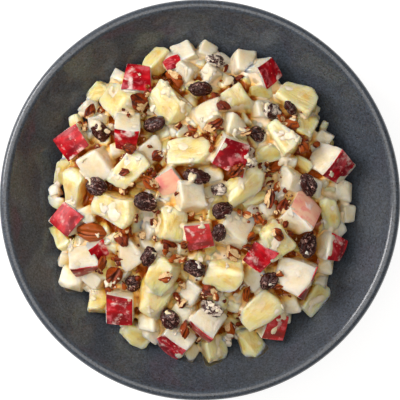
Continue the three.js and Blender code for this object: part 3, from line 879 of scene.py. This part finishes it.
def fruit(piles, piece, grid_points, quads, creamy):
    """Adds one die or chunk to the pile of its kind; creamy is how much of it dressing hides."""
    shape = apple_shape if piece["kind"] == "apple" else pineapple_shape
    local = shape(piece, grid_points)
    points = local @ piece["axes"] + piece["middle"]
    points = points + normals(points, quads) * cut_faces(points, local, piece)[:, None]
    edge = np.sort(np.abs(grid_points), axis=1)[:, 1]
    tone = draw(piece["seed"] + 60)
    piles[piece["kind"]].add(lifted_clear(points), quads, tone=tone, place=local, edge=edge, creamy=creamy)


def dress_pieces(pieces):
    """The dice and chunks, by kind, and the skins on them."""
    piles = {"apple": Pile(), "pineapple": Pile()}
    skins = Pile()
    for piece in pieces:
        fruit(piles, piece, GRID_POINTS, GRID_QUADS, 0)
        if piece["redness"] is not None:
            add_skin(skins, piece)
    return piles, skins


def add_skin(skins, piece):
    """The peel: a thin curved slab over a die's skinned side."""
    size = piece["size"]
    grid = softened(GRID_POINTS, 0.03)
    u, v = SKIN_WIDTH * grid[:, 0], SKIN_WIDTH * grid[:, 1]
    local = between(np.column_stack([u, v, np.ones(len(grid))]), corners([size] * 3, piece["seed"], 1))
    local[:, 2] += skin_rise(u, v, size) + SKIN_PROUD - SKIN_THICKNESS * (1 - grid[:, 2]) / 2
    points = local @ piece["axes"] + piece["middle"]
    uneven = 0.45 * noise(points, 9, piece["seed"])
    points = points + np.outer(uneven, piece["axes"][2])
    skins.add(points, GRID_QUADS, redness=piece["redness"], place=local)


# ---- dressing and the salad below ----


def core():
    """The bulk of the salad under the pieces that show, a little clear of the bowl, with a lumpy top."""
    under = [(r, wall_height(r) + CORE_GAP) for r in (0.5, 20, 35, 45, 55, 64, 72, 78, CORE_RADIUS)]
    over = [(r, heap_height(r) - CORE_DEPTH) for r in (*range(78, 0, -4), 0.5)]
    points, quads = lathe(under + over, 72)
    upper = points[:, 2] > heap_height(np.hypot(points[:, 0], points[:, 1])) - CORE_DEPTH - 1
    points[:, 2] += upper * LUMP_HEIGHT * noise(points, LUMP_WIDTH, 3)
    return points, quads


def run_together(pile, voxel, settling):
    """The pile's overlapping pieces as one closed mesh, its creases smoothed: points and quads."""
    rough = pile.build("rough_form")
    rough.modifiers.new("joined", "REMESH").voxel_size = voxel * MM
    smooth = rough.modifiers.new("settled", "SMOOTH")
    smooth.factor = 0.5
    smooth.iterations = settling
    mesh = rough.evaluated_get(bpy.context.evaluated_depsgraph_get()).to_mesh()
    points = np.zeros(len(mesh.vertices) * 3)
    mesh.vertices.foreach_get("co", points)
    quads = np.zeros(len(mesh.polygons) * 4, int)
    mesh.polygons.foreach_get("vertices", quads)
    bpy.data.objects.remove(rough)
    return points.reshape(-1, 3) / MM, quads.reshape(-1, 4)


def make_dressing(piles, tops):
    """Cream that clings to the pieces and fills the narrow gaps, over the salad's core, as one mesh."""
    gathered = Pile()
    gathered.add(*core())
    for pile in piles.values():
        gathered.add(np.concatenate(pile.points), np.concatenate(pile.quads))
    points, quads = run_together(gathered, DRESSING_VOXEL, 6)
    thickness = FILM_DEPTH * noise(points, FILM_WIDTH, 5, 2) - FILM_SUNK
    points = lifted_clear(points + normals(points, quads) * thickness[:, None])
    piece = make_object("dressing", points, quads, dressing_look(), {"depth": depth_of(points, tops)})
    wear(piece, "salad", "salad")


# ---- what lies on the heap ----


def tree_of(*piles):
    points = np.concatenate([np.concatenate(pile.points) for pile in piles])
    quads = []
    shift = 0
    for pile in piles:
        quads.append(np.concatenate(pile.quads) + shift)
        shift += pile.count
    return BVHTree.FromPolygons(points.tolist(), np.concatenate(quads).tolist())


def landing(tree, x, y):
    """Where a thing dropped at a place lands, and the way that the face there looks."""
    return tree.ray_cast(Vector((x, y, 2 * HEAP_CROWN)), Vector((0, 0, -1)))[:2]


def height_at(tree, x, y):
    hit, _ = landing(tree, x, y)
    return hit.z if hit else heap_height(math.hypot(x, y)) - CORE_DEPTH


def resting(tree, x, y, length, width, turn, thickness):
    """The middle and axes of a thing that rests on what is under it, and tips with that."""
    cos, sin = math.cos(math.radians(turn)), math.sin(math.radians(turn))
    a, b = FEELER * length, FEELER * width
    front, back = height_at(tree, x + a * cos, y + a * sin), height_at(tree, x - a * cos, y - a * sin)
    left, right = height_at(tree, x - b * sin, y + b * cos), height_at(tree, x + b * sin, y - b * cos)
    along = max(-STEEPEST, min(STEEPEST, (front - back) / (2 * a)))
    across = max(-STEEPEST, min(STEEPEST, (left - right) / (2 * b)))
    w = unit([-along * cos + across * sin, -along * sin - across * cos, 1])
    heights = [height_at(tree, x, y), front, back, left, right]
    base = (1 - PROPPED) * sum(heights) / len(heights) + PROPPED * max(heights)
    return np.array([x, y, base + NESTLE * thickness]), turn_axes(w, turn)


BALL_POINTS, BALL_QUADS = ball_grid(23)
NUT_POINTS, NUT_QUADS = ball_grid(18)
SMALL_POINTS, SMALL_QUADS = ball_grid(5)


def ridges(points, scale, seed):
    """Noise with sharp valleys, from 0 in a valley to 1 on a ridge."""
    return np.abs(noise(points, scale, seed)) ** 0.6


def raisin_shape(length, width, seed):
    """A raisin, and how far up its folds each point is, from 0 in a valley to 1 on a fold's crest."""
    size = np.array([length, width, RAISIN_THICKNESS * width])
    ball = BALL_POINTS * size / 2
    out = BALL_POINTS / size
    out /= np.linalg.norm(out, axis=1, keepdims=True)
    along = ball * [0.5, 1, 1]
    warped = along + 0.9 * np.column_stack([noise(along, 3, seed + k) for k in (1, 2, 3)])
    folds = ridges(warped, 2.3, seed) * 0.75 + ridges(warped, 1.3, seed + 9) * 0.35
    lumps = 0.5 * noise(ball, 5, seed + 4)
    return ball + out * (1.5 * folds - 1.35 + lumps)[:, None], np.clip(folds, 0, 1)


def pecan_shape(length, width, seed, whole, grid):
    """A pecan half or a piece of one, how far up its ridges each point is, and where it is broken."""
    size = np.array([length, width, PECAN_DOME * PECAN_THICKNESS * width]) / 2
    p = grid.copy()
    groove = 1 - GROOVE_DEPTH * np.exp(-(p[:, 1] / 0.22) ** 2)
    p[:, 2] *= np.where(p[:, 2] < 0, PECAN_UNDERSIDE, groove)
    p[:, 1] *= 1 - PECAN_TAPER * np.abs(p[:, 0])
    p = p * size
    along = p * [0.28, 1, 1]
    fold = ridges(along, 0.3 * width, seed)
    if whole:
        fold = (0.3 + 0.7 * fold) * (1 - 0.95 * np.exp(-((grid[:, 1] + 0.25) / 0.1) ** 2) * (grid[:, 2] > 0))
    p = p + grid * ((0.1 if whole else 0.2) * width * (fold - 0.5))[:, None]
    broken = np.zeros(len(p))
    if not whole:
        for k in range(4):
            way = unit([draw(seed * 5 + k) - 0.5, draw(seed * 7 + k) - 0.5, 0.9 * draw(seed * 9 + k) - 0.35])
            reach = (p @ way).max() * (0.5 + 0.35 * draw(seed * 11 + k))
            rough = 0.25 * noise(p, 1.3, seed + k, 2)
            over = np.maximum(p @ way - reach - rough, 0)
            p = p - np.outer(over, way)
            broken = np.maximum(broken, np.clip(over / 0.4, 0, 1) * (draw(seed * 13 + k) < 0.6))
    return p, fold, broken


def lay_raisins(tree):
    pile = Pile()
    for i, row in enumerate(RAISINS):
        _, _, length, width, _ = row
        middle, axes = resting(tree, *row, RAISIN_THICKNESS * width)
        local, fold = raisin_shape(length, width, 20 + i)
        coated = 1.0 if i in CREAMED_RAISINS else 0.55 * draw(i + 900)
        pile.add(local @ axes + middle, BALL_QUADS, place=local, fold=fold, coated=coated)
    return pile


def lay_nut(pile, tree, row, seed, whole, grid, quads, tone):
    """Lays a pecan half or a piece of one; row is its x, y, length, width and turn."""
    _, _, length, width, _ = row
    middle, axes = resting(tree, *row, PECAN_THICKNESS * width)
    local, fold, broken = pecan_shape(length, width, seed, whole, grid)
    pile.add(local @ axes + middle, quads, place=local, fold=fold, broken=broken, tone=tone, whole=whole)


def lay_pecans(tree):
    pile = Pile()
    for i, row in enumerate(PECANS):
        lay_nut(pile, tree, row, 40 + i, i == 0, NUT_POINTS, NUT_QUADS, draw(i + 950))
    return pile


def crumb_spot(tree, tops, i):
    """The deepest of a few spots, which for three crumbs in four are all near one of the larger pieces."""
    spots = []
    for k in range(CRUMB_TRIES):
        n = CRUMB_TRIES * i + k
        if i % 4:
            x, y = PECANS[i % len(PECANS)][:2]
            x, y = stepped(x, y, 3 + 9 * draw(n + 1000), 2 * math.pi * draw(n + 3200))
        else:
            x, y = stepped(0, 0, 84 * math.sqrt(draw(n + 5000)), 2 * math.pi * draw(n + 6200))
        depth = depth_of(np.array([[x, y, height_at(tree, x, y)]]), tops)[0]
        spots.append((depth, x, y))
    return max(spots)[1:]


def lay_crumbs(tree, tops):
    """Broken bits and crumbs of pecan, rather in the gaps than on top of the dice."""
    pile = Pile()
    for i in range(CRUMB_COUNT):
        x, y = crumb_spot(tree, tops, i)
        length = 1.6 + 5 * draw(i + 1400) ** 2
        width = length * (0.55 + 0.35 * draw(i + 1600))
        row = (x, y, length, width, 360 * draw(i + 1800))
        lay_nut(pile, tree, row, 200 + i, False, SMALL_POINTS, SMALL_QUADS, draw(i + 2000))
    return pile


def dab_middle(i):
    """Where a dab lies: every other one beside a raisin or nut, the rest all over the heap."""
    if i % 2:
        x, y = TOPPINGS[i // 2 % len(TOPPINGS)][:2]
        return stepped(x, y, 4 + 5 * draw(i + 2050), 2 * math.pi * draw(i + 2100))
    return on_spiral(i, DAB_COUNT, HEAP_RADIUS)


def lay_dabs(tree):
    """Dabs of dressing: small lumps that run together, in clusters, on whatever lies uppermost."""
    lumps = Pile()
    for i in range(DAB_COUNT):
        x, y = dab_middle(i)
        size = 0.8 + 1.5 * draw(i + 2200) ** 2
        for k in range(LUMPS_IN_DAB):
            n = LUMPS_IN_DAB * i + k
            spot = stepped(x, y, 2.2 * size * draw(n + 2300), 2 * math.pi * draw(n + 2400))
            hit, way = landing(tree, *spot)
            if hit is None:
                continue
            axes = turn_axes(unit(way) if way.z > 0 else -unit(way), 360 * draw(n + 2300))
            wide = size * (0.4 + 0.8 * draw(9 * i + k + 2500))
            lump = SMALL_POINTS * [1.3 * wide, 0.8 * wide, 0.35 + 0.2 * wide]
            lumps.add(lump @ axes + np.array(hit), SMALL_QUADS)
    points, quads = run_together(lumps, DAB_VOXEL, 4)
    points = points + normals(points, quads) * (0.3 * noise(points, 2.2, 6, 2))[:, None]
    return make_object("dressing_dabs", points, quads, dressing_look(), {"depth": np.zeros(len(points))})


# ---- the whole ----


def nodes_of(kind):
    return [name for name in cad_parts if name.startswith(kind)]


def make_salad():
    """The whole salad. Raisins and nuts rest on the pieces of fruit, and bits fill the gaps around them."""
    pieces = heap_pieces()
    piles, skins = dress_pieces(pieces)
    bed = tree_of(piles["apple"], piles["pineapple"], skins)
    raisins = lay_raisins(bed)
    pecans = lay_pecans(bed)
    for bit in bits_between(pieces):
        fruit(piles, bit, BIT_POINTS, BIT_QUADS, 0.4 + 0.5 * draw(bit["seed"]))
    tops = tops_around(height_field(*piles.values()))
    for pile in piles.values():
        pile.values["depth"] = [depth_of(points, tops) for points in pile.points]
    make_dressing(piles, tops)
    top = tree_of(piles["apple"], piles["pineapple"], skins, raisins, pecans)
    wear(piles["apple"].build("apple_dice", apple_flesh()), "salad", "salad")
    wear(piles["pineapple"].build("pineapple_chunks", pineapple_flesh()), "salad", "salad")
    wear(skins.build("apple_skins", apple_skin()), "salad", "salad")
    wear(raisins.build("raisins", raisin_skin()), "raisin", *nodes_of("raisin"))
    wear(pecans.build("pecan_pieces", pecan_nut()), "pecan", *nodes_of("pecan"))
    wear(lay_crumbs(top, tops).build("pecan_crumbs", pecan_nut()), "pecan", "salad")
    wear(lay_dabs(top), "salad", "salad")


def make_stage():
    bpy.ops.mesh.primitive_plane_add(size=FLOOR_SIZE)
    floor = bpy.context.object
    floor.name = "floor"
    floor.data.materials.append(floor_paint())


def area_light(name, place, aim, size, watts, tint):
    data = bpy.data.lights.new(name, "AREA")
    data.size = size
    data.energy = watts
    data.color = tint
    light = added(name, data)
    light.location = place
    light.rotation_euler = (Vector(aim) - Vector(place)).to_track_quat("-Z", "Y").to_euler()


def make_light():
    """A soft key light from the left and a warm fill from above, with places and sizes in metres."""
    rim_middle = (0, 0, BOWL_HEIGHT * MM)
    area_light("key", (-0.88, 0.36, 0.82), rim_middle, 0.6, 13.3, (1, 0.965, 0.955))
    area_light("fill", (-0.1, 0, 1.3), rim_middle, 1, 7.9, WARM)
    world = bpy.data.worlds.new("soft")
    world.use_nodes = True
    background = world.node_tree.nodes["Background"].inputs
    background["Color"].default_value = (*WARM, 1)
    background["Strength"].default_value = 0.14
    bpy.context.scene.world = world
    bpy.context.scene.view_settings.view_transform = "Standard"


def make_camera():
    data = bpy.data.cameras.new("camera")
    data.sensor_width = SENSOR
    data.lens = SENSOR * (CAMERA_DISTANCE + LIP_OUTER_ROUND) / (2 * RIM_RADIUS - VIEW_CUT)
    camera = added("camera", data)
    camera.location = (0, 0, (BOWL_HEIGHT + CAMERA_DISTANCE) * MM)
    bpy.context.scene.camera = camera


make_bowl()
make_salad()
make_stage()
make_light()
make_camera()
